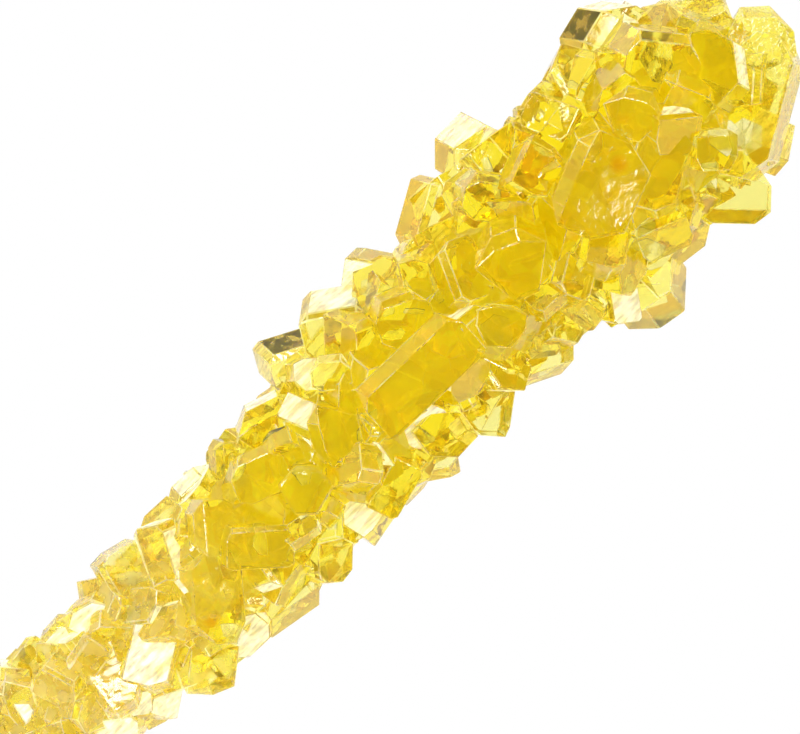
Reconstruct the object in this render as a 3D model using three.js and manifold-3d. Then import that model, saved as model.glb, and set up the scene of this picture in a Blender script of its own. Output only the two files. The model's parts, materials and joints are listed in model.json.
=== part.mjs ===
// Rock candy on a stick: lemon-yellow sugar crystals grown on a plain wooden dowel.
//
// The candy is one fused mass. Its crystals start on a seeded core round the dowel, are small
// and crowded near the handle, and grow to large blocks at the head. The dowel runs inside
// the mass in a blind bore and leaves it as a bare handle. The candy lies on its side.
//
// Units are millimetres. The model is made in the stick's own frame: +X along the dowel
// towards the head, +Z the side that lies uppermost. Stations are measured along X from a
// datum on the dowel's axis. A last group tips the stick to the way it lies on a table.

import * as THREE from "three";
import { ConvexGeometry } from "three/addons/geometries/ConvexGeometry.js";
import { mergeVertices } from "three/addons/utils/BufferGeometryUtils.js";
import Module from "manifold-3d";

const wasm = await Module();
wasm.setup();

// ---------------------------------------------------------------- driving dimensions

const STICK_DIAMETER = 4;
const STICK_LENGTH = 160;
const STICK_CHAMFER = 0.5;
const STICK_SIDES = 24;
const HANDLE_END = -128; // station of the bare end
const BORE_GAP = 0.3; // between the dowel and the sugar, so that the solids stay apart
const THINNEST_SUGAR = STICK_DIAMETER / 2 + BORE_GAP + 0.5; // the core's least radius

// How far the candy reaches from the dowel's axis, from the handle side to the head:
// [station, towards +Y, towards -Y, towards +Z and -Z].
const ENVELOPE = [
  [-54, 2.9, 2.9, 2.9],
  [-50, 5.2, 5.4, 5.6],
  [-45, 6.4, 6.2, 6.8],
  [-41, 5.8, 6.4, 7.0],
  [-36, 6.0, 6.2, 7.2],
  [-31, 6.2, 8.0, 7.6],
  [-26, 6.1, 7.5, 7.8],
  [-20, 6.2, 8.0, 8.2],
  [-16, 6.8, 8.0, 8.6],
  [-11, 7.2, 8.0, 8.8],
  [-6, 8.8, 8.4, 9.2],
  [-1, 9.2, 8.2, 9.4],
  [4, 7.0, 7.4, 9.0],
  [8, 8.6, 8.0, 9.2],
  [13, 10.2, 8.4, 10.0],
  [18, 10.0, 11.0, 10.9],
  [23, 9.2, 9.2, 10.5],
  [26, 9.4, 8.8, 10.6],
  [30, 10.2, 10.2, 10.4],
  [34, 6.8, 9.0, 9.0],
  [37, 4.4, 7.0, 7.0],
  [40, 2.4, 5.0, 4.2],
];
const CORE_SHARE = 0.8; // the seeded core's reach as a share of the envelope's
const CORE_SIDES = 10;
const CORE_STEP = 5.6; // between the core's rings
const CORE_RELIEF = 0.08; // how far the core's knobs go in and out, as a share of its reach

const HEAD_REST = 18; // the head's thickest station, which touches the table
const HEAD_AXIS_HEIGHT = 10.8; // height of the dowel's axis over the table there

const SEED = 20117;
const DRAW_FACTOR = 48271; // Lehmer's generator
const DRAW_MODULUS = 2147483647;

// ---------------------------------------------------------------- small helpers

const radians = THREE.MathUtils.degToRad;

// A seeded draw: each call gives the next number from low to high.
function seededDraw(seed) {
  let state = seed;
  return (low, high) => {
    state = (state * DRAW_FACTOR) % DRAW_MODULUS;
    return low + (high - low) * (state / DRAW_MODULUS);
  };
}

// The envelope at a station: its reach towards +Y, towards -Y and up or down.
function envelope(station) {
  const at = THREE.MathUtils.clamp(station, ENVELOPE[0][0], ENVELOPE[ENVELOPE.length - 1][0]);
  const next = Math.max(1, ENVELOPE.findIndex(([x]) => x >= at));
  const [before, after] = [ENVELOPE[next - 1], ENVELOPE[next]];
  const [left, right, upright] = [1, 2, 3].map((column) =>
    THREE.MathUtils.mapLinear(at, before[0], after[0], before[column], after[column]),
  );
  return { left, right, upright };
}

// The envelope's reach at a station in a direction round the axis, from +Y towards +Z.
function reach(station, angle) {
  const { left, right, upright } = envelope(station);
  const across = Math.cos(angle);
  return THREE.MathUtils.lerp(upright, across > 0 ? left : right, across * across);
}

// A closed three.js geometry as a solid that can be joined and cut.
function solidOf(geometry) {
  const bare = geometry.clone();
  bare.deleteAttribute("normal");
  bare.deleteAttribute("uv");
  const merged = mergeVertices(bare, 1e-4);
  return new wasm.Manifold(
    new wasm.Mesh({
      numProp: 3,
      vertProperties: new Float32Array(merged.attributes.position.array),
      triVerts: new Uint32Array(merged.index.array),
    }),
  );
}

// A solid back as a three.js geometry.
function geometryOf(solid) {
  const { vertProperties, triVerts } = solid.getMesh();
  return new THREE.BufferGeometry()
    .setAttribute("position", new THREE.BufferAttribute(vertProperties, 3))
    .setIndex(new THREE.BufferAttribute(triVerts, 1));
}

// ---------------------------------------------------------------- one crystal

// The habit of a sugar crystal: a block with two broad faces, a slanted cut along one edge of
// each, and a roof at each end that runs out to a ridge or to a flat. Its ends lean along it
// by the shear, as a sugar crystal's oblique ends do.
function crystalGeometry({ length, width, thickness, roof, cut, ridge, blunt, shear }) {
  const [a, b, c] = [length / 2, width / 2, thickness / 2];
  const points = [];
  for (const end of [-1, 1]) {
    const shoulder = end * (a - roof);
    points.push([shoulder, -b, c], [shoulder, b - cut, c], [shoulder, b, c - cut]);
    points.push([shoulder, b, -c], [shoulder, cut - b, -c], [shoulder, -b, cut - c]);
    for (const side of blunt > 0 ? [-1, 1] : [0]) {
      const y = ridge + side * blunt;
      points.push([end * a, y, c], [end * a, y, -c]);
    }
  }
  return new ConvexGeometry(points.map(([x, y, z]) => new THREE.Vector3(x + shear * z, y, z)));
}

// The habit varies from a plain block to a pointed one: draws for one crystal of a size.
function habit(length, width, thickness, draw) {
  const pointed = draw(0, 1);
  const roof = Math.min(width * (0.08 + 0.3 * pointed), length * 0.4);
  const cut = thickness * draw(0.08, 0.3);
  const ridge = width * draw(-0.2, 0.2);
  const blunt = pointed > 0.88 ? 0 : width * (0.36 - 0.24 * pointed);
  const shear = draw(-0.25, 0.25);
  return { length, width, thickness, roof, cut, ridge, blunt, shear };
}

// A crystal's solid at a place, turned by yaw about Z, then pitch about its own Y and roll
// about its own long axis, all in degrees.
function placedCrystal(shape, place, yaw, pitch, roll) {
  const turn = new THREE.Euler(radians(roll), radians(pitch), radians(yaw), "ZYX");
  const matrix = new THREE.Matrix4().compose(
    place,
    new THREE.Quaternion().setFromEuler(turn),
    new THREE.Vector3(1, 1, 1),
  );
  return solidOf(crystalGeometry(shape).applyMatrix4(matrix));
}

// ---------------------------------------------------------------- crystals of the upper side

// The crystals that give the upper side its look, from the head to the handle:
// [station, across, length, width, yaw], and for those that don't lie as they fell, their
// pitch and roll. Each is bedded in the mass at the depth that its distance across gives, so
// those near the middle stand highest.
const UPPER_CRYSTALS = [
  // Head: the long end slab, the rounded tip and the blocks round them.
  [34.6, -4.6, 12.6, 6.2, 30, 4, -20],
  [28.9, -8.8, 6.4, 5.2, -46, -6, 8],
  [39.0, -0.9, 6.0, 5.6, -40, 12, -6],
  [34.9, 4.4, 5.2, 4.8, -44, 0, 36],
  [30.4, 8.4, 6.4, 5.4, 14, -6, 38],
  [31.0, 4.1, 6.4, 5.2, -50, 4, 16],
  [34.0, -0.4, 6.6, 4.6, 52, 6, -26],
  [31.6, -6.6, 5.0, 3.0, -50, 0, -34],
  [28.8, -4.4, 3.8, 3.4, -40, 18, 14],
  // Shoulder: the broad golden faces in the middle and the big blocks beside them.
  [20.4, 0.2, 8.6, 6.6, 22, -4, 10],
  [24.4, -2.8, 7.4, 5.0, 28, 6, -12],
  [26.6, 2.0, 5.2, 4.2, -60, -10, 18],
  [27.6, -1.2, 4.4, 3.2, -36],
  [25.2, 7.4, 6.0, 4.8, 72, 8, 28],
  [21.4, 6.2, 4.4, 3.6, -66, -14, -12],
  [15.4, 8.8, 7.0, 6.2, 46, -20, 24],
  [13.0, 5.8, 4.8, 4.0, -52, 0, 12],
  [16.8, 4.6, 4.6, 3.6, 20],
  [18.2, -9.2, 6.4, 5.8, 42, 10, -24],
  [15.0, -7.6, 4.8, 3.4, 54, 0, 34],
  [21.6, -6.4, 4.6, 3.8, -20],
  [24.0, -6.8, 4.4, 3.2, 28, 0, -30],
  [11.2, 0.7, 6.4, 6.0, -23, -4, 28],
  [16.6, -4.2, 4.8, 3.8, 34],
  // Waist above the middle line, and the long crystal on the middle line.
  [8.9, 7.6, 6.6, 4.8, 30, 10, 32],
  [5.6, 6.2, 3.9, 3.3, -28],
  [6.6, 2.6, 5.4, 3.4, 66, 0, 24],
  [3.4, 4.8, 3.8, 2.8, 60],
  [1.4, 7.4, 5.2, 4.4, -56, -8, 20],
  [0.6, 3.6, 5.0, 4.4, -24, 6, 16],
  [-3.6, 6.9, 6.0, 5.2, -35, -6, 30],
  [-8.6, 7.2, 5.6, 4.4, -27, 6, 30],
  [-6.8, 4.4, 3.6, 3.0, -38],
  [-2.0, -0.6, 11.0, 5.2, -1, 2, 8],
  // Waist below the middle line.
  [13.2, -3.9, 4.4, 3.4, 30],
  [10.6, -4.0, 3.8, 2.4, -2, 0, -32],
  [12.6, -6.4, 4.4, 2.8, -80, 0, 36],
  [9.8, -6.6, 4.6, 3.4, 12],
  [6.8, -7.0, 5.2, 4.0, -26, 14, -18],
  [5.9, -2.6, 4.4, 3.6, -50],
  [3.6, -5.6, 4.6, 3.8, 80, 0, 22],
  [0.6, -6.6, 5.2, 4.4, 38, -12, 16],
  [-3.6, -5.4, 5.6, 4.4, -47, 4, 8],
  [-6.2, -7.2, 4.6, 3.0, -34, 0, -34],
  [-9.6, -5.6, 5.0, 3.6, 15],
  [-12.8, -6.0, 5.0, 4.4, 11, 10, -20],
  // Neck: middling crystals.
  [-9.8, 0.8, 5.6, 4.4, 60],
  [-11.2, -2.4, 4.6, 3.6, -30],
  [-13.6, 4.8, 6.2, 4.4, -18, 0, 14],
  [-16.8, 2.2, 5.0, 4.4, -20, -8, -10],
  [-15.2, -1.0, 4.8, 4.2, -44, 8, 6],
  [-18.6, 5.2, 3.6, 2.8, 48, 0, 26],
  [-18.6, -6.2, 5.0, 4.2, 44],
  [-18.0, -3.4, 3.4, 2.0, -10, 0, -32],
  [-21.6, -1.4, 5.8, 3.6, -42, 14, 10],
  [-22.6, 5.2, 4.4, 3.0, -2, 0, 34],
  [-23.0, 2.0, 4.8, 4.2, 50, 0, 20],
  [-23.4, -6.2, 5.0, 4.0, -10, 8, -26],
  [-25.4, 5.4, 3.4, 2.0, -20, 20, 0],
  [-27.4, -1.8, 8.2, 5.2, 50, 4, 12],
  [-28.0, 3.6, 5.4, 3.6, 62, -10, -28],
  [-27.4, -6.0, 4.4, 3.6, 0, -16, 12],
  // Tail: small crowded crystals.
  [-31.8, 3.8, 6.2, 3.8, 76, 0, 18],
  [-31.6, -5.6, 5.4, 4.4, 38],
  [-34.8, -2.2, 5.2, 4.4, 32, 6, -8],
  [-36.0, 4.0, 4.2, 3.0, -16],
  [-31.4, -1.2, 4.2, 3.4, -30],
  [-37.2, -5.0, 3.8, 3.0, 36],
  [-38.8, -1.8, 4.4, 3.6, 84],
  [-38.2, 1.6, 4.0, 3.0, 10],
  [-39.6, 4.6, 3.6, 2.6, 4],
  [-41.6, 1.8, 4.2, 3.0, -70],
  [-41.4, -4.4, 3.8, 2.8, -40],
  [-43.2, 4.9, 3.8, 2.8, 10],
  [-42.0, -1.2, 3.8, 3.0, 30],
  [-45.4, 3.6, 4.2, 3.2, 60],
  [-45.2, -1.4, 4.0, 3.2, -22],
];
const THICKNESS_SHARE = 0.86; // a crystal's thickness as a share of its width
const SUNK_SHARE = 0.42; // how much of its thickness lies inside the envelope's radius
const FLANK_LEAN = 22; // degrees that a crystal at the flank leans outwards
const BROAD = 5.5; // crystals longer than this lie flatter than the others
const BROAD_WOBBLE = 15; // largest extra pitch and roll of a broad one, in degrees
const SMALL_WOBBLE = 36; // and of a small one

function upperCrystals(draw) {
  return UPPER_CRYSTALS.map(([station, across, length, width, yaw, ...tilts]) => {
    const thickness = width * THICKNESS_SHARE;
    const { left, right, upright } = envelope(station);
    const sunk = thickness * SUNK_SHARE;
    const share = Math.min(Math.abs(across) / ((across > 0 ? left : right) - sunk), 1);
    const lift = (upright - sunk) * Math.sqrt(1 - share * share);
    const wobble = length > BROAD ? BROAD_WOBBLE : SMALL_WOBBLE;
    const lean = -FLANK_LEAN * share * Math.sign(across);
    const fallen = [draw(-wobble, wobble), draw(-wobble, wobble) + lean * Math.cos(radians(yaw))];
    const [pitch, roll] = tilts.length ? tilts : fallen;
    const place = new THREE.Vector3(station, across, lift);
    return placedCrystal(habit(length, width, thickness, draw), place, yaw, pitch, roll);
  });
}

// ---------------------------------------------------------------- crystals of the other sides

// The flanks and the underside are filled by rule: rings along the stick, each with crystals
// a crystal's width apart, turned on from ring to ring, over the arc that the upper list
// leaves open. Past the list's last crystal the rings close round the whole stick.
const SIZE_AT_TAIL = 3.6;
const SIZE_AT_HEAD = 6.2;
const FIRST_RING = -52.5;
const LAST_RING = 35.5;
const RING_PITCH_SHARE = 0.96; // step from ring to ring as a share of the crystal size
const ROUND_PITCH_SHARE = 1.2; // step round a ring as a share of the crystal size
const RING_TURN = 2.4; // from ring to ring, in radians
const COVERED_ARC = [0.45, 2.7]; // radians from +Y towards +Z that the upper list covers
const LIST_ENDS = -47; // stations below this have crystals all round
const RULED_SHARE = 0.94; // how near to the envelope the ruled crystals come
const FREE_LEAN = 24; // largest lean away from the radial direction, in degrees

function sizeAt(station) {
  const share = (station - FIRST_RING) / (LAST_RING - FIRST_RING);
  return THREE.MathUtils.lerp(SIZE_AT_TAIL, SIZE_AT_HEAD, share);
}

function ruledCrystals(draw) {
  const solids = [];
  let turn = 0;
  for (let ring = FIRST_RING; ring < LAST_RING; ring += sizeAt(ring) * RING_PITCH_SHARE) {
    const size = sizeAt(ring);
    const around = 2 * Math.PI * (envelope(ring).upright - size / 2);
    const count = Math.max(4, Math.round(around / (size * ROUND_PITCH_SHARE)));
    turn += RING_TURN;
    for (let i = 0; i < count; i++) {
      const angle = (turn + (2 * Math.PI * i) / count) % (2 * Math.PI);
      const covered = angle > COVERED_ARC[0] && angle < COVERED_ARC[1];
      if (covered && ring > LIST_ENDS) continue;
      const length = size * draw(0.95, 1.4);
      const width = size * draw(0.75, 1.05);
      const thickness = width * THICKNESS_SHARE;
      const bed = reach(ring, angle) * RULED_SHARE - thickness * SUNK_SHARE;
      const shape = { ...habit(length, width, thickness, draw), cut: 0, blunt: 0 };
      const lean = [draw(-FREE_LEAN, FREE_LEAN), draw(-FREE_LEAN, FREE_LEAN)];
      const upright = placedCrystal(shape, new THREE.Vector3(0, 0, bed), draw(0, 180), ...lean);
      const matrix = new THREE.Matrix4().makeRotationX(angle - Math.PI / 2);
      solids.push(upright.transform(matrix.setPosition(ring, 0, 0).toArray()));
    }
  }
  return solids;
}

// ---------------------------------------------------------------- core, bore and table

// A lathe whose profile is given as [station, radius] pairs and whose axis is the dowel's.
function turned(profile, sides) {
  const points = profile.map(([station, radius]) => new THREE.Vector2(radius, station));
  return new THREE.LatheGeometry(points, sides).rotateZ(-Math.PI / 2);
}

// The core: rings of knobs, each ring turned half a step on from the last one.
function coreGeometry(draw) {
  const [from, to] = [ENVELOPE[0][0], LAST_RING + 2];
  const rings = Math.round((to - from) / CORE_STEP);
  const points = [new THREE.Vector3(from, 0, 0)];
  for (let ring = 0; ring <= rings; ring++) {
    const station = THREE.MathUtils.lerp(from, to, ring / rings);
    for (let side = 0; side < CORE_SIDES; side++) {
      const angle = (2 * Math.PI * (side + (ring % 2) / 2)) / CORE_SIDES;
      const relief = 1 + draw(-CORE_RELIEF, CORE_RELIEF);
      const radius = Math.max(reach(station, angle) * CORE_SHARE * relief, THINNEST_SUGAR);
      points.push(new THREE.Vector3(station, radius * Math.cos(angle), radius * Math.sin(angle)));
    }
  }
  points.push(new THREE.Vector3(to, 0, 0));
  const last = points.length - 1;
  const knob = (ring, side) => 1 + ring * CORE_SIDES + (side % CORE_SIDES);
  const faces = [];
  for (let side = 0; side < CORE_SIDES; side++) {
    faces.push(0, knob(0, side + 1), knob(0, side));
    faces.push(last, knob(rings, side), knob(rings, side + 1));
    for (let ring = 0; ring < rings; ring++) {
      const shifted = side + (ring % 2); // the knob of the next ring that lies between two of this
      faces.push(knob(ring, side), knob(ring, side + 1), knob(ring + 1, shifted));
      faces.push(knob(ring, side + 1), knob(ring + 1, shifted + 1), knob(ring + 1, shifted));
    }
  }
  return new THREE.BufferGeometry().setFromPoints(points).setIndex(faces);
}

function dowelGeometry(radius, from, to, chamfer, sides) {
  return turned(
    [
      [from, 0],
      [from, radius - chamfer],
      [from + chamfer, radius],
      [to - chamfer, radius],
      [to, radius - chamfer],
      [to, 0],
    ],
    sides,
  );
}

// The stick lies with its handle's end and its head on the table.
const tilt = Math.asin(
  (HEAD_AXIS_HEIGHT - STICK_DIAMETER / 2) / (HEAD_REST - HANDLE_END),
);

// Everything under the table's surface, in the stick's frame.
function tableSolid() {
  const [size, depth] = [400, 20];
  const slab = new THREE.BoxGeometry(size, size, depth)
    .translate(0, 0, -depth / 2)
    .rotateY(tilt);
  const drop = HEAD_AXIS_HEIGHT / Math.cos(tilt);
  return solidOf(slab.translate(HEAD_REST, 0, -drop));
}

// ---------------------------------------------------------------- the two pieces

const sugar = new THREE.MeshStandardMaterial({
  name: "sugar",
  color: new THREE.Color(0.91, 0.75, 0.08),
  roughness: 0.12,
  metalness: 0,
});
const wood = new THREE.MeshStandardMaterial({
  name: "wood",
  color: new THREE.Color(0.82, 0.66, 0.46),
  roughness: 0.75,
  metalness: 0,
});

function candyMesh() {
  const draw = seededDraw(SEED);
  let candy = solidOf(coreGeometry(draw));
  for (const crystal of [...upperCrystals(draw), ...ruledCrystals(draw)]) {
    candy = candy.add(crystal);
  }
  const innerEnd = HANDLE_END + STICK_LENGTH + BORE_GAP;
  const bore = dowelGeometry(STICK_DIAMETER / 2 + BORE_GAP, HANDLE_END, innerEnd, 0.1, STICK_SIDES);
  candy = candy.subtract(solidOf(bore)).subtract(tableSolid());
  // The largest body is the candy: hollows that fusing sealed and loose scraps are dropped.
  const [whole] = candy.decompose().sort((one, other) => other.volume() - one.volume());
  const mesh = new THREE.Mesh(geometryOf(whole), sugar);
  mesh.name = "crystals";
  return mesh;
}

function stickMesh() {
  const mesh = new THREE.Mesh(
    dowelGeometry(
      STICK_DIAMETER / 2,
      HANDLE_END,
      HANDLE_END + STICK_LENGTH,
      STICK_CHAMFER,
      STICK_SIDES,
    ),
    wood,
  );
  mesh.name = "stick";
  return mesh;
}

// The stick's frame tipped onto the table, then moved so that the origin is under the middle.
const lying = new THREE.Group();
lying.add(candyMesh(), stickMesh());
lying.rotation.y = -tilt;
lying.updateMatrixWorld(true);
const box = new THREE.Box3().setFromObject(lying, true);
const middle = box.getCenter(new THREE.Vector3());
lying.position.set(-middle.x, -middle.y, -box.min.z);

const rockCandy = new THREE.Group();
rockCandy.add(lying);

export default rockCandy;
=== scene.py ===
import json
from math import asin, cos, pi, radians, sin, sqrt

import bmesh
import bpy
from mathutils import Matrix, Vector

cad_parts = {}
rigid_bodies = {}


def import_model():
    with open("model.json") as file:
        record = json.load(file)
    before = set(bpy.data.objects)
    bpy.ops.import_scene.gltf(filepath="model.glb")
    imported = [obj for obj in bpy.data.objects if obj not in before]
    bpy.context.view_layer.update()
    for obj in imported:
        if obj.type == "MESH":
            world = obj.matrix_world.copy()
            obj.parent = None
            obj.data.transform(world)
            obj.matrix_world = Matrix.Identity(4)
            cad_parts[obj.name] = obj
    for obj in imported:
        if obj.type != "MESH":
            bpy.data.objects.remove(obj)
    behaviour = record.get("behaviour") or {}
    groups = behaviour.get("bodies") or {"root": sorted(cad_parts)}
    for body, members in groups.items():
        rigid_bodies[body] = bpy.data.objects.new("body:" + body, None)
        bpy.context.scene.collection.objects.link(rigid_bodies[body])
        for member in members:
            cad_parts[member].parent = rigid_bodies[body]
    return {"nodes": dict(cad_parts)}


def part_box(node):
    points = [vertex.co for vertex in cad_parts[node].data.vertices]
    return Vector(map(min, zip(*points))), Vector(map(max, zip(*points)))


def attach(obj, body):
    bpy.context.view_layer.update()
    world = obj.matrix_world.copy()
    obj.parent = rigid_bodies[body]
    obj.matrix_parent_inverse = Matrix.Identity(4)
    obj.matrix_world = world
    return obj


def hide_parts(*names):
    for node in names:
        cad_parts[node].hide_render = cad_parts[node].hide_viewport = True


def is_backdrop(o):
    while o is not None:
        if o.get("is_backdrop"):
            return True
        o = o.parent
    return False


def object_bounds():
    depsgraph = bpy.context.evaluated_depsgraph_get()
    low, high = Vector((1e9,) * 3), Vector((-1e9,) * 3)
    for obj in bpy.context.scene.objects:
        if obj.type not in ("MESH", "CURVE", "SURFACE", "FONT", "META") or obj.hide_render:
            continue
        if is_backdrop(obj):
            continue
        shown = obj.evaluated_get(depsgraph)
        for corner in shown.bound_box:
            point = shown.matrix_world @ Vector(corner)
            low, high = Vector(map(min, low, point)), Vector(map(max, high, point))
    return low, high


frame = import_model()
cad_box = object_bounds()

# ------------------------------------------------------------------ the stick
# A plain birch dowel, turned and sanded, with its ends just broken. Its bare half is the
# handle. It lies tipped, with the handle's end and the candy's head on the table.

STICK_LENGTH = 160  # mm; stations along the dowel grow towards the head
HANDLE_END = -128
HEAD_REST = 18
HEAD_AXIS_HEIGHT = 10.8
STICK_RADIUS = 2

tilt = asin((HEAD_AXIS_HEIGHT - STICK_RADIUS) / (HEAD_REST - HANDLE_END))
stick_low, stick_high = (Vector(corner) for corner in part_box("stick"))
lying = Matrix.Rotation(-tilt, 4, "Y")
stick_middle = lying @ Vector(((HANDLE_END + STICK_LENGTH / 2) / 1000, 0, 0))
lying = Matrix.Translation((stick_low + stick_high) / 2 - stick_middle) @ lying


class Sock:
    """A shader socket that adds and multiplies like a number, each time with a Math node."""

    def __init__(self, tree, socket=None):
        self.tree, self.socket = tree, socket

    def node(self, kind, settings, sockets, out=0):
        """Adds a node: first its settings, then the values or links of its sockets."""
        node = self.tree.nodes.new(kind)
        for name, setting in settings.items():
            setattr(node, name, setting)
        for name, value in sockets.items():
            if isinstance(value, Sock):
                self.tree.links.new(value.socket, node.inputs[name])
            elif node.inputs[name].type == "RGBA":
                node.inputs[name].default_value = (*value, 1)
            else:
                node.inputs[name].default_value = value
        return Sock(self.tree, node.outputs[out])

    def math(self, operation, first, second):
        return self.node("ShaderNodeMath", {"operation": operation}, {0: first, 1: second})

    def __add__(self, other):
        return self.math("ADD", self, other)

    def __mul__(self, other):
        return self.math("MULTIPLY", self, other)

    def __sub__(self, other):
        return self.math("SUBTRACT", self, other)

    def __rsub__(self, other):
        return self.math("SUBTRACT", other, self)

    __radd__, __rmul__ = __add__, __mul__

    def between(self, low, high):
        """0 where the value is below low, 1 above high, and smooth between them."""
        settings = {"interpolation_type": "SMOOTHSTEP"}
        return self.node("ShaderNodeMapRange", settings, {0: self, 1: low, 2: high})

    def colours(self, first, second):
        """The first colour where the value is 0, and the second where it is 1."""
        sockets = {0: self, 6: first, 7: second}
        return self.node("ShaderNodeMix", {"data_type": "RGBA"}, sockets, out=2)


def new_material(name):
    """An empty material, and the place of each point of its surface, in metres."""
    material = bpy.data.materials.new(name)
    material.use_nodes = True
    material.node_tree.nodes.clear()
    return material, Sock(material.node_tree).node("ShaderNodeNewGeometry", {}, {})


def finish_material(material, surface, volume=None):
    output = material.node_tree.nodes.new("ShaderNodeOutputMaterial")
    material.node_tree.links.new(surface.socket, output.inputs["Surface"])
    if volume:
        material.node_tree.links.new(volume.socket, output.inputs["Volume"])


wood, place = new_material("birch_wood")
fibre = (60, 900, 900)  # how fine the grain is: drawn out along the dowel
along_grain = place.node("ShaderNodeVectorMath", {"operation": "MULTIPLY"}, {0: place, 1: fibre})
grain = place.node("ShaderNodeTexNoise", {}, {"Vector": along_grain, "Scale": 1.0, "Detail": 4.0})
flecks = place.node("ShaderNodeTexNoise", {}, {"Vector": along_grain, "Scale": 4.0, "Detail": 2.0})
fibres = grain.between(0.35, 0.65)
timber = fibres.colours((0.62, 0.42, 0.22), (0.80, 0.62, 0.39))
timber = (0.35 * flecks.between(0.62, 0.75)).colours(timber, (0.45, 0.27, 0.12))
relief = place.node("ShaderNodeBump", {}, {"Strength": 0.25, "Distance": 0.00012, "Height": grain})
finish_material(wood, place.node("ShaderNodeBsdfPrincipled", {}, {
    "Base Color": timber, "Roughness": 0.55 + 0.2 * fibres, "Normal": relief,
}))
for slot in frame["nodes"]["stick"].material_slots:
    slot.material = wood

# ------------------------------------------------------------------ the crystals
# Clear sugar, grown in a dyed syrup on a seeded dowel: blocks with slanted edges and
# roof-like ends, fused into one lump, small near the handle and large at the head.

# How far the candy reaches from the dowel: station, towards +Y, towards -Y, up and down.
ENVELOPE = [
    (-54, 2.9, 2.9, 2.9),
    (-50, 5.2, 5.4, 5.6),
    (-45, 6.4, 6.2, 6.8),
    (-41, 5.8, 6.4, 7.0),
    (-36, 6.0, 6.2, 7.2),
    (-31, 6.2, 8.0, 7.6),
    (-26, 6.1, 7.5, 7.8),
    (-20, 6.2, 8.0, 8.2),
    (-16, 6.8, 8.0, 8.6),
    (-11, 7.2, 8.0, 8.8),
    (-6, 8.8, 8.4, 9.2),
    (-1, 9.2, 8.2, 9.4),
    (4, 7.0, 7.4, 9.0),
    (8, 8.6, 8.0, 9.2),
    (13, 10.2, 8.4, 10.0),
    (18, 10.0, 11.0, 10.9),
    (23, 9.2, 9.2, 10.5),
    (26, 9.4, 8.8, 10.6),
    (30, 10.2, 10.2, 10.4),
    (34, 6.8, 9.0, 9.0),
    (37, 4.4, 7.0, 7.0),
    (40, 2.4, 5.0, 4.2),
]
CANDY_START, CANDY_END = -54, 40
CORE_END = 37.5

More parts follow.
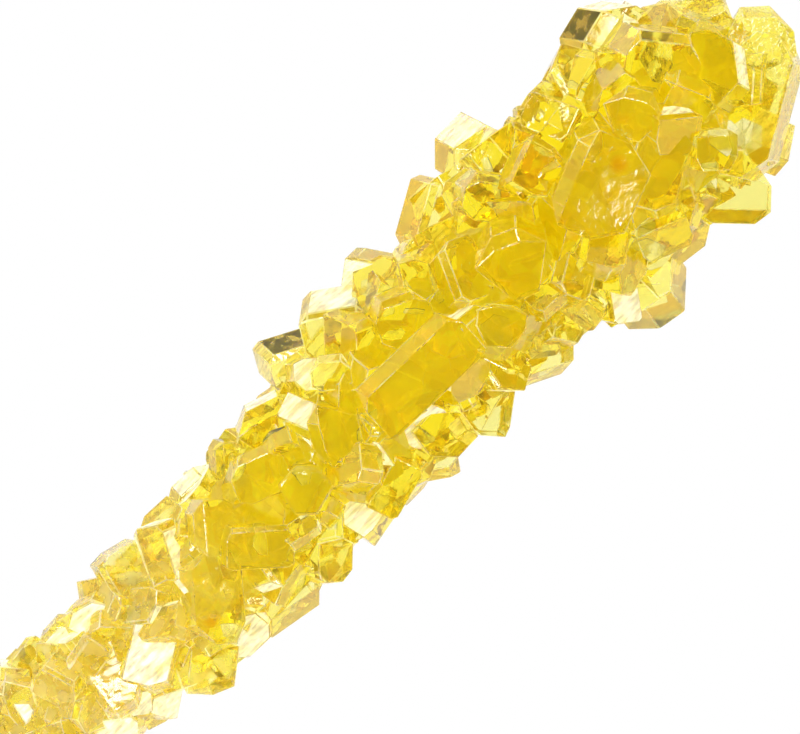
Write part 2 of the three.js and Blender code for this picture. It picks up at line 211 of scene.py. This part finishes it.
# The crystals on top that stand out: station, across, length, width, turn in degrees, and
# for the ones that don't lie as they fell, their pitch and roll.
UPPER_CRYSTALS = [
    (34.6, -4.6, 12.6, 6.2, 30, 4, -20), (28.9, -8.8, 6.4, 5.2, -46, -6, 8),
    (39.0, -0.9, 6.0, 5.6, -40, 12, -6), (34.9, 4.4, 5.2, 4.8, -44, 0, 36),
    (30.4, 8.4, 6.4, 5.4, 14, -6, 38), (31.0, 4.1, 6.4, 5.2, -50, 4, 16),
    (34.0, -0.4, 6.6, 4.6, 52, 6, -26), (31.6, -6.6, 5.0, 3.0, -50, 0, -34),
    (28.8, -4.4, 3.8, 3.4, -40, 18, 14), (20.4, 0.2, 8.6, 6.6, 22, -4, 10),
    (24.4, -2.8, 7.4, 5.0, 28, 6, -12), (26.6, 2.0, 5.2, 4.2, -60, -10, 18),
    (27.6, -1.2, 4.4, 3.2, -36), (25.2, 7.4, 6.0, 4.8, 72, 8, 28),
    (21.4, 6.2, 4.4, 3.6, -66, -14, -12), (15.4, 8.8, 7.0, 6.2, 46, -20, 24),
    (13.0, 5.8, 4.8, 4.0, -52, 0, 12), (16.8, 4.6, 4.6, 3.6, 20),
    (18.2, -9.2, 6.4, 5.8, 42, 10, -24), (15.0, -7.6, 4.8, 3.4, 54, 0, 34),
    (21.6, -6.4, 4.6, 3.8, -20), (24.0, -6.8, 4.4, 3.2, 28, 0, -30),
    (11.2, 0.7, 6.4, 6.0, -23, -4, 28), (16.6, -4.2, 4.8, 3.8, 34),
    (8.9, 7.6, 6.6, 4.8, 30, 10, 32), (5.6, 6.2, 3.9, 3.3, -28),
    (6.6, 2.6, 5.4, 3.4, 66, 0, 24), (3.4, 4.8, 3.8, 2.8, 60),
    (1.4, 7.4, 5.2, 4.4, -56, -8, 20), (0.6, 3.6, 5.0, 4.4, -24, 6, 16),
    (-3.6, 6.9, 6.0, 5.2, -35, -6, 30), (-8.6, 7.2, 5.6, 4.4, -27, 6, 30),
    (-6.8, 4.4, 3.6, 3.0, -38), (-2.0, -0.6, 11.0, 5.2, -1, 2, 8),
    (13.2, -3.9, 4.4, 3.4, 30), (10.6, -4.0, 3.8, 2.4, -2, 0, -32),
    (12.6, -6.4, 4.4, 2.8, -80, 0, 36), (9.8, -6.6, 4.6, 3.4, 12),
    (6.8, -7.0, 5.2, 4.0, -26, 14, -18), (5.9, -2.6, 4.4, 3.6, -50),
    (3.6, -5.6, 4.6, 3.8, 80, 0, 22), (0.6, -6.6, 5.2, 4.4, 38, -12, 16),
    (-3.6, -5.4, 5.6, 4.4, -47, 4, 8), (-6.2, -7.2, 4.6, 3.0, -34, 0, -34),
    (-9.6, -5.6, 5.0, 3.6, 15), (-12.8, -6.0, 5.0, 4.4, 11, 10, -20),
    (-9.8, 0.8, 5.6, 4.4, 60), (-11.2, -2.4, 4.6, 3.6, -30),
    (-13.6, 4.8, 6.2, 4.4, -18, 0, 14), (-16.8, 2.2, 5.0, 4.4, -20, -8, -10),
    (-15.2, -1.0, 4.8, 4.2, -44, 8, 6), (-18.6, 5.2, 3.6, 2.8, 48, 0, 26),
    (-18.6, -6.2, 5.0, 4.2, 44), (-18.0, -3.4, 3.4, 2.0, -10, 0, -32),
    (-21.6, -1.4, 5.8, 3.6, -42, 14, 10), (-22.6, 5.2, 4.4, 3.0, -2, 0, 34),
    (-23.0, 2.0, 4.8, 4.2, 50, 0, 20), (-23.4, -6.2, 5.0, 4.0, -10, 8, -26),
    (-25.4, 5.4, 3.4, 2.0, -20, 20, 0), (-27.4, -1.8, 8.2, 5.2, 50, 4, 12),
    (-28.0, 3.6, 5.4, 3.6, 62, -10, -28), (-27.4, -6.0, 4.4, 3.6, 0, -16, 12),
    (-31.8, 3.8, 6.2, 3.8, 76, 0, 18), (-31.6, -5.6, 5.4, 4.4, 38),
    (-34.8, -2.2, 5.2, 4.4, 32, 6, -8), (-36.0, 4.0, 4.2, 3.0, -16),
    (-31.4, -1.2, 4.2, 3.4, -30), (-37.2, -5.0, 3.8, 3.0, 36),
    (-38.8, -1.8, 4.4, 3.6, 84), (-38.2, 1.6, 4.0, 3.0, 10),
    (-39.6, 4.6, 3.6, 2.6, 4), (-41.6, 1.8, 4.2, 3.0, -70),
    (-41.4, -4.4, 3.8, 2.8, -40), (-43.2, 4.9, 3.8, 2.8, 10),
    (-42.0, -1.2, 3.8, 3.0, 30), (-45.4, 3.6, 4.2, 3.2, 60),
    (-45.2, -1.4, 4.0, 3.2, -22),
]
# Of those, the ones with a dark reflection painted on their outer upper face: station and across.
PAINTED_DARK_REFLECTIONS = [(30.4, 8.4), (-8.6, 7.2), (-25.4, 5.4), (-43.2, 4.9)]

# What each face keeps for the material, from 0 to 1: frosted with a painted glow, a painted dark
# reflection,
# dyed deeper, and worn round with a painted edge highlight.
FINISHES = ("frost_glow", "dark_reflection", "tint", "worn_and_glint")

THICK = 0.86  # a crystal's thickness to its width
SUNK = 0.42  # of its thickness inside the envelope
RING_TURN = 2.4  # radians from one ring of crystals to the next
KNOBS_ROUND = 10  # knobs in a ring of the core
KNOB_SPACING = 5.6  # from one ring of them to the next
LEAST_CRUST = 0.8  # of sugar on the dowel


class Draw:
    """A seeded draw: each call gives the next number from low to high."""

    def __init__(self, seed):
        self.state = seed

    def __call__(self, low, high):
        self.state = self.state * 48271 % 2147483647
        return low + (high - low) * self.state / 2147483647


def envelope(station):
    """How far the candy reaches at a station: towards +Y, towards -Y, and up or down."""
    at = min(max(station, ENVELOPE[0][0]), ENVELOPE[-1][0])
    after = max(1, next(i for i, row in enumerate(ENVELOPE) if row[0] >= at))
    one, other = ENVELOPE[after - 1], ENVELOPE[after]
    share = (at - one[0]) / (other[0] - one[0])
    return [a + (b - a) * share for a, b in zip(one[1:], other[1:])]


def reach(station, angle):
    """The envelope's reach in a direction round the dowel, from +Y towards +Z."""
    left, right, upright = envelope(station)
    across = cos(angle)
    return upright + ((left if across > 0 else right) - upright) * across * across


def headward(station):
    """How far along the candy a station is: 0 near the handle, 1 at the head."""
    return (station - CANDY_START) / (CANDY_END - CANDY_START)


def habit(length, width, thickness, draw):
    """How a crystal departs from a plain block: its roof, slanted cuts, ridge and shear."""
    pointed = draw(0, 1)
    roof = min(width * (0.08 + 0.3 * pointed), length * 0.4)
    cut = thickness * draw(0.08, 0.3)
    ridge = width * draw(-0.2, 0.2)
    blunt = 0 if pointed > 0.88 else width * (0.36 - 0.24 * pointed)
    shear = draw(-0.25, 0.25)
    return {"length": length, "width": width, "thickness": thickness, "roof": roof,
            "cut": cut, "ridge": ridge, "blunt": blunt, "shear": shear}


def crystal_mesh(length, width, thickness, roof, cut, ridge, blunt, shear, edge, steps):
    """One crystal round the origin, in mm, its edges worn off by edge mm."""
    a, b, c = length / 2, width / 2, thickness / 2
    points = []
    for end in (-1, 1):
        x = end * (a - roof)
        points += [(x, -b, c), (x, b - cut, c), (x, b, c - cut)]
        points += [(x, b, -c), (x, cut - b, -c), (x, -b, cut - c)]
        for y in (ridge - blunt, ridge + blunt):
            points += [(end * a, y, c), (end * a, y, -c)]
    mesh = bmesh.new()
    verts = [mesh.verts.new((x + shear * z, y, z)) for x, y, z in dict.fromkeys(points)]
    hull = bmesh.ops.convex_hull(mesh, input=verts)
    left_over = dict.fromkeys(hull["geom_interior"] + hull["geom_unused"])
    inner = [part for part in left_over if isinstance(part, bmesh.types.BMVert)]
    bmesh.ops.delete(mesh, geom=inner, context="VERTS")
    bmesh.ops.dissolve_limit(mesh, angle_limit=radians(1), verts=mesh.verts[:], edges=mesh.edges[:])
    # The rounded edges are marked for a painted edge highlight.
    worn_and_glint = mesh.faces.layers.float.new("worn_and_glint")
    rounded = bmesh.ops.bevel(mesh, geom=mesh.edges[:], offset=edge, segments=steps, profile=0.5,
                              affect="EDGES", clamp_overlap=True)
    for face in rounded["faces"]:
        face[worn_and_glint] = 1.0
    return mesh


def turned(place, yaw, pitch, roll):
    return (Matrix.Translation(place) @ Matrix.Rotation(radians(yaw), 4, "Z")
            @ Matrix.Rotation(radians(pitch), 4, "Y") @ Matrix.Rotation(radians(roll), 4, "X"))


def round_stick(station, angle):
    """Stands what is made upright on the dowel at a station, leaning round it by an angle."""
    return Matrix.Translation((station, 0, 0)) @ Matrix.Rotation(angle - pi / 2, 4, "X")


def core_mesh(draw, share):
    """The knobbly mass that the crystals stand in: a closed tube of rings of knobs."""
    mesh = bmesh.new()
    start, stop, sides = CANDY_START, CORE_END, KNOBS_ROUND
    rings = round((stop - start) / KNOB_SPACING)
    knobs = []
    for ring in range(rings + 1):
        station = start + (stop - start) * ring / rings
        for side in range(sides):
            angle = 2 * pi * (side + (ring % 2) / 2) / sides
            relief = 1 + draw(-0.08, 0.08)
            radius = max(reach(station, angle) * share * relief, STICK_RADIUS + LEAST_CRUST)
            knobs.append(mesh.verts.new((station, radius * cos(angle), radius * sin(angle))))
    first, last = mesh.verts.new((start, 0, 0)), mesh.verts.new((stop, 0, 0))

    def knob(ring, side):
        return knobs[ring * sides + side % sides]

    for side in range(sides):
        mesh.faces.new((first, knob(0, side + 1), knob(0, side)))
        mesh.faces.new((last, knob(rings, side), knob(rings, side + 1)))
        for ring in range(rings):
            one, other = knob(ring, side), knob(ring, side + 1)
            ahead = side + ring % 2
            mesh.faces.new((one, other, knob(ring + 1, ahead)))
            mesh.faces.new((other, knob(ring + 1, ahead + 1), knob(ring + 1, ahead)))
    return mesh


onto_table = lying @ Matrix.Diagonal((0.001, 0.001, 0.001, 1))


def piece_from(mesh, name, group):
    """Ends a mesh made in mm along the dowel: an object in metres, lying on the table."""
    for finish in FINISHES:
        if mesh.faces.layers.float.get(finish) is None:
            mesh.faces.layers.float.new(finish)
    bmesh.ops.recalc_face_normals(mesh, faces=mesh.faces[:])
    mesh.transform(onto_table)
    piece = bpy.data.objects.new(name, bpy.data.meshes.new(name))
    mesh.to_mesh(piece.data)
    mesh.free()
    group.objects.link(piece)
    return piece


def new_group(name):
    group = bpy.data.collections.new(name)
    bpy.context.scene.collection.children.link(group)
    return group


def fuse(body, changes):
    """Joins or cuts the body with each group of pieces in turn, and clears them away."""
    for operation, group in changes:
        change = body.modifiers.new(group.name, "BOOLEAN")
        change.operation, change.solver = operation, "MANIFOLD"
        change.operand_type, change.collection = "COLLECTION", group
    fused = body.evaluated_get(bpy.context.evaluated_depsgraph_get())
    body.data = bpy.data.meshes.new_from_object(fused)
    body.modifiers.clear()
    body.data.materials.clear()
    for _, group in changes:
        for piece in list(group.objects):
            bpy.data.objects.remove(piece)
        bpy.data.collections.remove(group)


finer = Draw(4409)  # draws for wear, finish and the small crystals in the gaps
BROAD_FACES = 8  # of a crystal, which take their own finish
UPTURNED = 0.35  # how far up a face's normal points where the face counts as upper


def grow(group, matrix, shape, edge, steps, frost_glow, dark_reflection_side=0, paler=0):
    """Grows one crystal: some faces frosted with a painted glow, each dyed its own depth, a painted
    dark reflection if asked.
    """
    mesh = crystal_mesh(**shape, edge=edge, steps=steps)
    mesh.transform(matrix)
    mesh.normal_update()
    frost_glow_layer, dark_reflection_layer, tinted = (mesh.faces.layers.float.new(finish) for finish in FINISHES[:3])
    broad = sorted(mesh.faces, key=lambda face: -face.calc_area())[:BROAD_FACES]
    for face in broad:
        face[frost_glow_layer] = 1.0 if finer(0, 1) < frost_glow else 0.0
        face[tinted] = finer(0, 1) * (1 - paler)
    # If asked, the upper broad face that looks most outward gets a painted dark reflection.
    if dark_reflection_side:
        upper = [face for face in broad if face.normal.z > UPTURNED]
        outer = max(upper, key=lambda face: face.normal.y * dark_reflection_side)
        outer[dark_reflection_layer] = 1.0
    piece_from(mesh, "crystal", group)


def worn_edge():
    """How many mm a crystal's edges are worn off; a few crystals are blunted all round."""
    wear = finer(0, 1)
    return 0.05 + 0.07 * wear + (0.5 if wear > 0.93 else 0)


def frost_glow_share(station):
    """The share of a crystal's faces that is frosted and painted glowing."""
    return 0.08 + 0.03 * (1 - headward(station))


draw = Draw(20117)
candy = piece_from(core_mesh(draw, 0.8), "sugar_crystals", bpy.context.scene.collection)
crystals = new_group("crystals")
LONG = 5.5  # from this length on, crystals lie flatter

for station, across, length, width, yaw, *tilts in UPPER_CRYSTALS:
    thickness = width * THICK
    left, right, upright = envelope(station)
    sunk = thickness * SUNK
    share = min(abs(across) / ((left if across > 0 else right) - sunk), 1)
    lift = (upright - sunk) * sqrt(1 - share * share)
    wobble = 15 if length > LONG else 36
    outward = 1 if across > 0 else -1
    pitch = draw(-wobble, wobble)
    roll = draw(-wobble, wobble) - 22 * share * outward * cos(radians(yaw))
    pitch, roll = tilts or (pitch, roll)
    shape = habit(length, width, thickness, draw)
    dark_reflection_side = outward if (station, across) in PAINTED_DARK_REFLECTIONS else 0
    frost_glow = frost_glow_share(station) * (0.1 + 1.6 * share)
    grow(crystals, turned((station, across, lift), yaw, pitch, roll), shape, worn_edge(), 2,
         frost_glow, dark_reflection_side, 0.7 * share)


def crystal_rings(start, stop, size_at, pace):
    """Rings of crystals towards the head: each one's station, crystal size and turn."""
    station, turn = start, 0
    while station < stop:
        size = size_at(station)
        turn += RING_TURN
        yield station, size, turn
        station += size * pace


# The flanks and the underside, in rings as far as the crystals on top leave them open.
FLANK_START, FLANK_END = -52.5, 35.5
COVERED = 0.45, 2.7  # radians round the dowel, from +Y, that the crystals on top cover
COVER_START = -47


def flank_size(station):
    return 3.6 + 2.6 * (station - FLANK_START) / (FLANK_END - FLANK_START)


for ring, size, turn in crystal_rings(FLANK_START, FLANK_END, flank_size, 0.96):
    around = 2 * pi * (envelope(ring)[2] - size / 2)
    count = max(4, int(around / (size * 1.2) + 0.5))
    for i in range(count):
        angle = (turn + 2 * pi * i / count) % (2 * pi)
        if COVERED[0] < angle < COVERED[1] and ring > COVER_START:
            continue
        length = size * draw(0.95, 1.4)
        width = size * draw(0.75, 1.05)
        thickness = width * THICK
        bed = reach(ring, angle) * 0.94 - thickness * SUNK
        shape = {**habit(length, width, thickness, draw), "cut": 0, "blunt": 0}
        lean = draw(-24, 24), draw(-24, 24)
        matrix = round_stick(ring, angle) @ turned((0, 0, bed), draw(0, 180), *lean)
        grow(crystals, matrix, shape, worn_edge(), 2, frost_glow_share(ring), paler=0.4)


def small_crystal(draw, ring, angle, size, depths, lean):
    """Where a small crystal stands, at a share of the envelope's depth, and its shape."""
    small = size * draw(0.7, 1.3)
    shape = habit(small * draw(1, 1.6), small, small * THICK, draw)
    bed = reach(ring, angle) * draw(*depths) - small * 0.3
    leaning = turned((0, 0, bed), draw(0, 180), draw(-lean, lean), draw(-lean, lean))
    return round_stick(ring + draw(-0.8, 0.8), angle) @ leaning, shape


def gap_size(station):
    return 2.3 + 1.9 * headward(station)


# Smaller crystals crowd the gaps between the large ones.
for ring, size, turn in crystal_rings(-53.5, CORE_END, gap_size, 1.2):
    count = int(2 * pi * envelope(ring)[2] / (size * 1.35))
    for i in range(count):
        angle = (turn + 2 * pi * (i + finer(-0.3, 0.3)) / count) % (2 * pi)
        placed = small_crystal(finer, ring, angle, size, (0.74, 0.86), 60)
        grow(crystals, *placed, finer(0.04, 0.1), 1, frost_glow_share(ring))

# Thin cracks inside, left where neighbours met, that flash as the light strikes them.
CRACKS = 130
CRACK_GAP = 0.06  # mm
clefts = new_group("clefts")
breaks = Draw(7717)
for i in range(CRACKS):
    station = CANDY_START + 4 + (CANDY_END - CANDY_START - 6) * (i + 0.5) / CRACKS
    angle = breaks(0, 2 * pi)
    size = (1.2 + headward(station)) * breaks(0.6, 1.3)
    bed = reach(station, angle) * breaks(0.5, 0.85)
    mesh = bmesh.new()
    for side in range(6):
        x = size * breaks(0.7, 1.2) * cos(side * pi / 3)
        y = size * breaks(0.55, 0.95) * sin(side * pi / 3)
        for z in (-CRACK_GAP / 2, CRACK_GAP / 2):
            mesh.verts.new((x, y, z))
    bmesh.ops.convex_hull(mesh, input=mesh.verts[:])
    leaning = turned((0, 0, bed), breaks(0, 180), breaks(-70, 70), breaks(-70, 70))
    mesh.transform(round_stick(station, angle) @ leaning)
    piece_from(mesh, "cleft", clefts)

# The table keeps the underside level: nothing grows or stands below it.
below = new_group("below_table")
mesh = bmesh.new()
bmesh.ops.create_cube(mesh, size=0.4, matrix=Matrix.Translation((0, 0, -0.2)))
mesh.transform(onto_table.inverted())
piece_from(mesh, "below_table", below)
fuse(candy, [("UNION", crystals), ("DIFFERENCE", clefts), ("DIFFERENCE", below)])

sugar, place = new_material("clear_sugar")
along = place.node("ShaderNodeSeparateXYZ", {}, {0: place})
PALE_TO_GOLDEN = 0.004, 0.028  # metres along, paler near the handle
golden = along.between(*PALE_TO_GOLDEN)
cloud = place.node("ShaderNodeTexNoise", {}, {"Vector": place, "Scale": 260.0, "Detail": 3.0})
waves = place.node("ShaderNodeTexNoise", {}, {"Vector": place, "Scale": 900.0, "Detail": 2.0})
fine = place.node("ShaderNodeTexNoise", {}, {"Vector": place, "Scale": 2600.0, "Detail": 2.0})
frost_glow, dark_reflection, tint, worn_and_glint = (
    place.node("ShaderNodeAttribute", {"attribute_name": finish}, {}, out=2) for finish in FINISHES
)
tip = along.between(0.0765, 0.082)  # the last crystals, grown over with grains
STAINS = [(22.2, -0.1, 11.0), (-28.4, -3.5, 9.2)]  # two specks of caramel under the skin
flattened = Vector((1, 1, 0.35))
level = place.node("ShaderNodeVectorMath", {"operation": "MULTIPLY"}, {0: place, 1: flattened})
stained = 0
for stain in STAINS:
    spot = (lying @ (Vector(stain) / 1000)) * flattened
    away = place.node("ShaderNodeVectorMath", {"operation": "DISTANCE"}, {0: level, 1: spot}, out=1)
    stained = stained + (1 - away.between(0.0002, 0.0011))
hazy = cloud.between(0.5, 0.68)
height = fine * (0.3 * hazy + frost_glow + 1.5 * tip) + 0.7 * waves + 0.4 * cloud
relief = place.node("ShaderNodeBump", {}, {"Strength": 0.25, "Distance": 0.0002, "Height": height})
lit = tint.colours((1.0, 1.0, 0.98), golden.colours((0.99, 0.93, 0.66), (0.96, 0.89, 0.34)))
# Painted dark reflection: the marked faces show the sugar dark olive.
lit = dark_reflection.colours(lit, (0.50, 0.43, 0.06))
# Painted glow: a faint light the clear sugar gives off itself, its colour following the dye and the
# stains.
glow = tint.colours((1.0, 0.88, 0.30), (1.0, 0.82, 0.02))
glow = golden.colours((0.92, 0.74, 0.28), glow)
clear = place.node("ShaderNodeBsdfPrincipled", {}, {
    "Base Color": stained.colours(lit, (1.0, 0.56, 0.08)),
    "Roughness": 0.06 + 0.08 * hazy + 0.1 * frost_glow,
    "Transmission Weight": 1.0, "IOR": 1.54, "Normal": relief,
    "Emission Color": stained.colours(glow, (1.0, 0.42, 0.02)), "Emission Strength": 0.017,
})
deep = place.node("ShaderNodeVolumeAbsorption", {}, {
    "Color": (0.999, 0.967, 0.40), "Density": 440.0,
})
skin = golden.colours((0.93, 0.77, 0.36), (0.96, 0.80, 0.03))
# Worn edges are paler: partly rubbed sugar, partly a painted edge highlight.
skin = worn_and_glint.colours(skin, golden.colours((1.0, 0.97, 0.80), (1.0, 0.94, 0.50)))
skin = frost_glow.colours(skin, (1.0, 0.99, 0.78))
# Painted dark reflection: a near-black skin on the marked faces.
skin = dark_reflection.colours(skin, (0.13, 0.10, 0.0))
# Painted glow: the milky skin gives off light of its own, so that it reads lit from all round.
skin_glow = golden.colours((0.24, 0.19, 0.07), (0.25, 0.205, 0.005))
# Painted highlight: the worn edges glow pale, standing in for glints along them.
skin_glow = worn_and_glint.colours(skin_glow, (0.5, 0.46, 0.22))
# Painted highlight: frosted faces glow near white, standing in for the white reflections on them.
skin_glow = frost_glow.colours(skin_glow, (1.0, 0.96, 0.62))
# The painted dark reflections glow hardly at all.
skin_glow = dark_reflection.colours(skin_glow, (0.02, 0.015, 0.0))
milk = place.node("ShaderNodeBsdfPrincipled", {}, {
    "Base Color": skin, "Roughness": 0.3, "Specular IOR Level": 0.25, "Subsurface Weight": 1.0,
    "Subsurface Radius": (1.0, 0.8, 0.2), "Subsurface Scale": 0.002, "Normal": relief,
    "Emission Color": skin_glow, "Emission Strength": 0.6,
})
growth = (500, 2400, 900)  # fine lines of growth, along the dowel
drawn_out = place.node("ShaderNodeVectorMath", {"operation": "MULTIPLY"}, {0: place, 1: growth})
scratches = place.node("ShaderNodeTexNoise", {}, {"Vector": drawn_out, "Scale": 1.0, "Detail": 3.0})
veil = 0.02 + 0.08 * cloud.between(0.5, 0.7) + 0.3 * worn_and_glint * cloud.between(0.42, 0.62)
veil = veil + frost_glow * (0.25 + 0.4 * scratches.between(0.3, 0.66))
veil = veil + 0.2 * (1 - golden) * waves.between(0.42, 0.6)
# The painted dark reflections and the grainy tip take more of the milky skin.
veil = veil + dark_reflection * (0.15 + 0.8 * waves.between(0.4, 0.56)) + 0.5 * tip * fine.between(0.52, 0.6)
finish_material(sugar, place.node("ShaderNodeMixShader", {}, {0: veil, 1: clear, 2: milk}), deep)
sugar.cycles.emission_sampling = "NONE"  # its glow is too faint to light anything
candy.data.materials.append(sugar)
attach(candy, "root")
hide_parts("crystals")

# ------------------------------------------------------------------ the heart
# The first sugar that set on the wetted dowel: a cloudy crust of grains too fine to see
# through, dyed like the rest. It hides the dowel inside the candy.

heart = piece_from(core_mesh(Draw(977), 0.3), "cloudy_heart", bpy.context.scene.collection)
buds = new_group("buds")
budding = Draw(6151)


def bud_size(station):
    return 2.6 + 1.4 * headward(station)


for ring, size, turn in crystal_rings(-52, 37, bud_size, 0.9):
    count = int(2 * pi * envelope(ring)[2] * 0.6 / (size * 0.9))
    for i in range(count):
        angle = (turn + 2 * pi * i / count) % (2 * pi)
        placed = small_crystal(budding, ring, angle, size, (0.3, 0.42), 50)
        grow(buds, *placed, 0.12, 1, 0)
fuse(heart, [("UNION", buds)])

crust, place = new_material("cloudy_sugar")
along = place.node("ShaderNodeSeparateXYZ", {}, {0: place})
golden = along.between(*PALE_TO_GOLDEN)
lumps = place.node("ShaderNodeTexNoise", {}, {"Vector": place, "Scale": 420.0, "Detail": 3.0})
grains = place.node("ShaderNodeTexVoronoi", {}, {"Vector": place, "Scale": 420.0}, out=1)
shade = grains.node("ShaderNodeSeparateColor", {}, {0: grains})
dim = golden.colours((0.85, 0.70, 0.15), (0.88, 0.72, 0.00))
bright = golden.colours((0.98, 0.86, 0.32), (0.98, 0.84, 0.01))
# Painted glow: the crust gives off light of its own, standing in for light scattered in from the
# sugar round it.
dim_glow = golden.colours((0.76, 0.60, 0.14), (0.70, 0.56, 0.00))
bright_glow = golden.colours((0.96, 0.82, 0.36), (0.97, 0.82, 0.02))
relief = place.node("ShaderNodeBump", {}, {"Strength": 0.6, "Distance": 0.0006, "Height": lumps})
finish_material(crust, place.node("ShaderNodeBsdfPrincipled", {}, {
    "Base Color": shade.colours(dim, bright), "Roughness": 0.5, "Normal": relief,
    "Emission Color": shade.colours(dim_glow, bright_glow), "Emission Strength": 0.2,
}))
crust.cycles.emission_sampling = "NONE"
heart.data.materials.append(crust)
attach(heart, "root")

# ------------------------------------------------------------------ table, tent and camera
# A white light table, seen from straight above the stick. Round it stands a studio tent:
# white low down, dim overhead so that the sugar keeps its colour, with small lamps.

table = bpy.data.objects.new("table", bpy.data.meshes.new("table"))
mesh = bmesh.new()
bmesh.ops.create_grid(mesh, x_segments=1, y_segments=1, size=1.5)
mesh.to_mesh(table.data)
mesh.free()
bpy.context.scene.collection.objects.link(table)
opal, place = new_material("light_table")
finish_material(opal, place.node("ShaderNodeEmission", {}, {"Color": (1, 1, 1), "Strength": 1.0}))
table.data.materials.append(opal)
table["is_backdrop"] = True

tent = bpy.data.worlds.new("tent")
tent.use_nodes = True
tent.node_tree.nodes.clear()
bpy.context.scene.world = tent
ray = Sock(tent.node_tree).node("ShaderNodeTexCoord", {}, {})


def nearness(azimuth, elevation):
    """How nearly a ray heads for a place on the tent, as a cosine; angles in degrees."""
    level = cos(radians(elevation))
    spot = (level * cos(radians(azimuth)), level * sin(radians(azimuth)), sin(radians(elevation)))
    return ray.node("ShaderNodeVectorMath", {"operation": "DOT_PRODUCT"}, {0: ray, 1: spot}, out=1)


def lamp(azimuth, elevation, radius, strength):
    """A round lamp with a soft rim, its radius in degrees."""
    rim, core = cos(radians(radius * 1.25)), cos(radians(radius * 0.85))
    return nearness(azimuth, elevation).between(rim, core) * strength


# Each card and lamp: azimuth, elevation and radius in degrees, and its strength.
DARK_CARDS = [(100, 36, 9, 0.8), (-110, 30, 8, 0.8), (10, 35, 7, 0.8)]
LAMPS = [
    (-45, 48, 4, 24), (140, 52, 6, 15), (60, 55, 4, 22), (5, 60, 5, 18), (100, 40, 4, 20),
    (-80, 62, 3, 24), (175, 40, 4, 18), (-130, 45, 4, 18), (-20, 78, 2.5, 12), (120, 76, 2.5, 22),
]
up = nearness(0, 90)
light = 0.05 + 0.86 * (1 - up.between(0.25, 0.6))
for card in DARK_CARDS:
    light = light - lamp(*card)
for bulb in LAMPS:
    light = light + lamp(*bulb)
light = light.math("MAXIMUM", light, 0.02)
shining = ray.node("ShaderNodeBackground", {}, {"Color": (1, 1, 1), "Strength": light})
outside = tent.node_tree.nodes.new("ShaderNodeOutputWorld")
tent.node_tree.links.new(shining.socket, outside.inputs["Surface"])

LENS, SENSOR = 110, 36  # mm
SEEN_WIDTH = 0.0696  # metres of the candy across the picture
STICK_SLOPE = radians(44.56)  # of the stick in the picture
LOOKED_AT = (-0.00238, 0.00063, 0)
camera = bpy.data.objects.new("camera", bpy.data.cameras.new("camera"))
bpy.context.scene.collection.objects.link(camera)
camera.data.lens, camera.data.sensor_width, camera.data.clip_start = LENS, SENSOR, 0.01
distance = SEEN_WIDTH * LENS / SENSOR
stick_axes = lying.to_3x3()
right = stick_axes @ Vector((cos(STICK_SLOPE), -sin(STICK_SLOPE), 0))
upward = stick_axes @ Vector((sin(STICK_SLOPE), cos(STICK_SLOPE), 0))
back = right.cross(upward)
stand = Matrix.Translation(lying @ Vector(LOOKED_AT) + back * distance)
camera.matrix_world = stand @ Matrix((right, upward, back)).transposed().to_4x4()
bpy.context.scene.camera = camera
bpy.context.scene.view_settings.view_transform = "Standard"

boxes = {"cad": cad_box, "visual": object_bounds()}
{name: [list(map(float, corner)) for corner in box] for name, box in boxes.items()}
